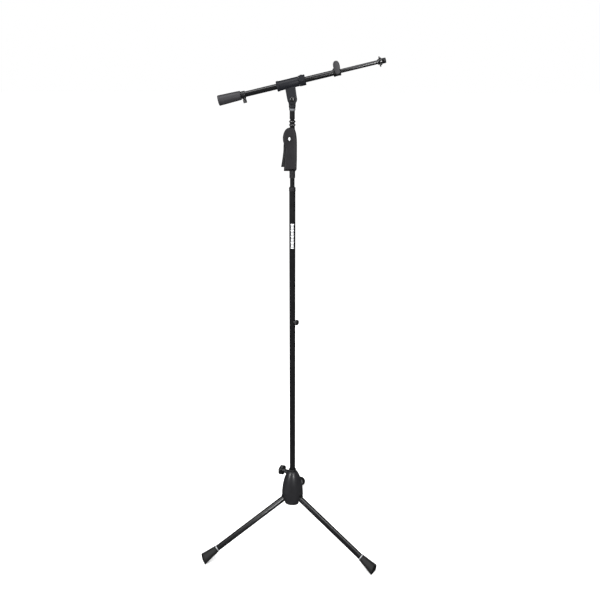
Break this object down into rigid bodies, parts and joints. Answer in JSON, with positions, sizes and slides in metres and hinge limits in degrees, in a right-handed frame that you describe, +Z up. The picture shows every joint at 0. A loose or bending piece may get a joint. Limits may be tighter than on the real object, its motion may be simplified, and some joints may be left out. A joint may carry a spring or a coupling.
{
  "type": "boom microphone stand",
  "caption": "Folding tripod microphone stand with a telescoping column, one-hand height clutch and a tilting, sliding, telescoping boom with a counterweight.",
  "frame": {"origin": "middle of the footprint, on the floor, with the feet on z = 0; the column stands a little off it along X and Y", "axes": "+Z up along the column; +X is the way the boom points, and leg 1 points 35 degrees to the right of it, seen from above"},
  "size_m": [0.5958, 0.5428, 1.6367],
  "materials": {
    "tube_paint": "satin black powder coat",
    "hub_paint": "semi-gloss black paint on die casting",
    "clutch_plastic": "fine-textured charcoal plastic",
    "clamp_plastic": "satin blue-black plastic",
    "knob_plastic": "satin black plastic",
    "foot_rubber": "matt black rubber",
    "black_steel": "blackened steel",
    "steel": "turned steel",
    "chrome": "bright chrome",
    "nylon": "natural nylon"
  },
  "bodies": {
    "base": {"hub_housing": "hub_paint", "hub_collar": "knob_plastic", "leg_1_pivot_pin": "chrome", "leg_2_pivot_pin": "chrome", "leg_3_pivot_pin": "chrome"},
    "hub_knob": {"hub_clamp_knob": "knob_plastic"},
    "leg_1": {"leg_1_pivot_block": "knob_plastic", "leg_1_tube": "tube_paint", "leg_1_ring": "chrome", "leg_1_foot": "foot_rubber"},
    "leg_2": {"leg_2_pivot_block": "knob_plastic", "leg_2_tube": "tube_paint", "leg_2_ring": "chrome", "leg_2_foot": "foot_rubber"},
    "leg_3": {"leg_3_pivot_block": "knob_plastic", "leg_3_tube": "tube_paint", "leg_3_ring": "chrome", "leg_3_foot": "foot_rubber"},
    "column": {"column_tube": "tube_paint", "column_top_collar": "knob_plastic", "column_foot_plug": "knob_plastic", "height_lock_boss": "tube_paint"},
    "height_lock": {"height_lock_knob": "knob_plastic"},
    "inner_column": {"inner_column_tube": "tube_paint", "brake_collet": "nylon", "clutch_sleeve": "clutch_plastic", "clutch_shell_front": "clutch_plastic", "clutch_shell_rear": "clutch_plastic", "trigger_pin": "chrome", "clutch_badge": "knob_plastic", "brake_spring": "steel", "clutch_screw_1": "steel", "clutch_screw_2": "steel", "clutch_screw_3": "steel", "boom_stud": "tube_paint"},
    "trigger": {"clutch_trigger": "knob_plastic"},
    "brake": {"brake_rod": "steel"},
    "lower_ring": {"lock_ring_lower": "black_steel"},
    "upper_ring": {"lock_ring_upper": "black_steel"},
    "swivel": {"swivel_socket": "tube_paint", "swivel_washer": "chrome", "swivel_base": "clamp_plastic"},
    "boom_clamp": {"boom_clamp_housing": "clamp_plastic", "boom_clamp_rear_cap": "clamp_plastic", "boom_clamp_front_cap": "clamp_plastic", "tilt_bolt": "black_steel"},
    "tilt_lock": {"tilt_knob": "knob_plastic"},
    "slide_lock": {"boom_slide_knob": "clamp_plastic"},
    "boom_outer": {"boom_outer_tube": "tube_paint", "telescope_collar": "knob_plastic"},
    "telescope_lock": {"telescope_knob": "clutch_plastic"},
    "weight": {"counterweight_core": "steel", "counterweight_sleeve": "clutch_plastic", "counterweight_collar": "knob_plastic"},
    "weight_screw": {"counterweight_screw": "knob_plastic"},
    "boom_inner": {"boom_inner_tube": "tube_paint", "boom_tip_stud": "black_steel"},
    "tip_ring": {"boom_tip_ring": "black_steel"}
  },
  "joints": [
    {"name": "column_lift", "type": "slide", "parent": "base", "child": "column", "axis": [0, 0, 1], "range_m": [0, 0.045]},
    {"name": "leg_1_fold", "type": "hinge", "parent": "base", "child": "leg_1", "pos_m": [0.0337, -0.07866, 0.1747], "axis": [0.5736, 0.8192, 0], "range_deg": [0, 60]},
    {"name": "leg_2_fold", "type": "hinge", "parent": "base", "child": "leg_2", "pos_m": [0.0154, -0.03941, 0.1747], "axis": [-0.9962, 0.0872, 0], "range_deg": [0, 60]},
    {"name": "leg_3_fold", "type": "hinge", "parent": "base", "child": "leg_3", "pos_m": [-0.00944, -0.07488, 0.1747], "axis": [0.4226, -0.9063, 0], "range_deg": [0, 60]},
    {"name": "hub_knob_turn", "type": "hinge", "parent": "base", "child": "hub_knob", "pos_m": [0.01322, -0.06432, 0.259], "axis": [-0.8192, 0.5736, 0], "range_deg": [0, 360]},
    {"name": "height_lock_turn", "type": "hinge", "parent": "column", "child": "height_lock", "pos_m": [0.01322, -0.06432, 0.826], "axis": [0.8192, -0.5736, 0], "range_deg": [0, 360]},
    {"name": "inner_column_slide", "type": "slide", "parent": "column", "child": "inner_column", "axis": [0, 0, 1], "range_m": [-0.026, 0.45]},
    {"name": "trigger_squeeze", "type": "hinge", "parent": "inner_column", "child": "trigger", "pos_m": [0.00492, -0.06432, 1.405], "axis": [0, -1, 0], "range_deg": [0, 8], "stiffness_Nm_per_rad": 0.6, "springref_deg": -17.19},
    {"name": "brake_rod_lift", "type": "slide", "parent": "inner_column", "child": "brake", "axis": [0, 0, 1], "range_m": [0, 0.0014], "stiffness_N_per_m": 2500, "springref_m": -0.003, "deforming": ["brake_spring"]},
    {"name": "lower_ring_turn", "type": "hinge", "parent": "inner_column", "child": "lower_ring", "pos_m": [0.01322, -0.06432, 1.442], "axis": [0, 0, 1], "continuous": true},
    {"name": "upper_ring_turn", "type": "hinge", "parent": "inner_column", "child": "upper_ring", "pos_m": [0.01322, -0.06432, 1.4518], "axis": [0, 0, 1], "continuous": true},
    {"name": "boom_swivel", "type": "hinge", "parent": "inner_column", "child": "swivel", "pos_m": [0.01322, -0.06432, 0], "axis": [0, 0, 1], "continuous": true},
    {"name": "boom_tilt", "type": "hinge", "parent": "swivel", "child": "boom_clamp", "pos_m": [0.01322, -0.06432, 1.517], "axis": [0, -1, 0], "range_deg": [-85, 60]},
    {"name": "tilt_knob_turn", "type": "hinge", "parent": "boom_clamp", "child": "tilt_lock", "pos_m": [0.01322, -0.06432, 1.517], "axis": [0, 1, 0], "range_deg": [0, 360]},
    {"name": "slide_knob_turn", "type": "hinge", "parent": "boom_clamp", "child": "slide_lock", "pos_m": [0.041, -0.06432, 1.56933], "axis": [-0.0781, -0.9397, 0.333], "range_deg": [0, 360]},
    {"name": "boom_slide", "type": "slide", "parent": "boom_clamp", "child": "boom_outer", "axis": [0.9736, 0, 0.2284], "range_m": [-0.06, 0.09]},
    {"name": "telescope_knob_turn", "type": "hinge", "parent": "boom_outer", "child": "telescope_lock", "pos_m": [0.14323, -0.06432, 1.5933], "axis": [0, -1, 0], "range_deg": [0, 360]},
    {"name": "boom_telescope", "type": "slide", "parent": "boom_outer", "child": "boom_inner", "axis": [0.9736, 0, 0.2284], "range_m": [-0.105, 0.11]},
    {"name": "tip_ring_turn", "type": "hinge", "parent": "boom_inner", "child": "tip_ring", "pos_m": [0.26347, -0.06432, 1.6215], "axis": [0.9736, 0, 0.2284], "continuous": true},
    {"name": "counterweight_slide", "type": "slide", "parent": "boom_outer", "child": "weight", "axis": [0.9736, 0, 0.2284], "range_m": [-0.04, 0]},
    {"name": "counterweight_screw_turn", "type": "hinge", "parent": "weight", "child": "weight_screw", "pos_m": [-0.12888, -0.06432, 1.52948], "axis": [0.2284, 0, -0.9736], "range_deg": [0, 360]}
  ],
  "couplings": [
    {"joint": "leg_1_fold", "follows": "column_lift", "rad_per_m": 23.271},
    {"joint": "leg_2_fold", "follows": "column_lift", "rad_per_m": 23.271},
    {"joint": "leg_3_fold", "follows": "column_lift", "rad_per_m": 23.271}
  ]
}
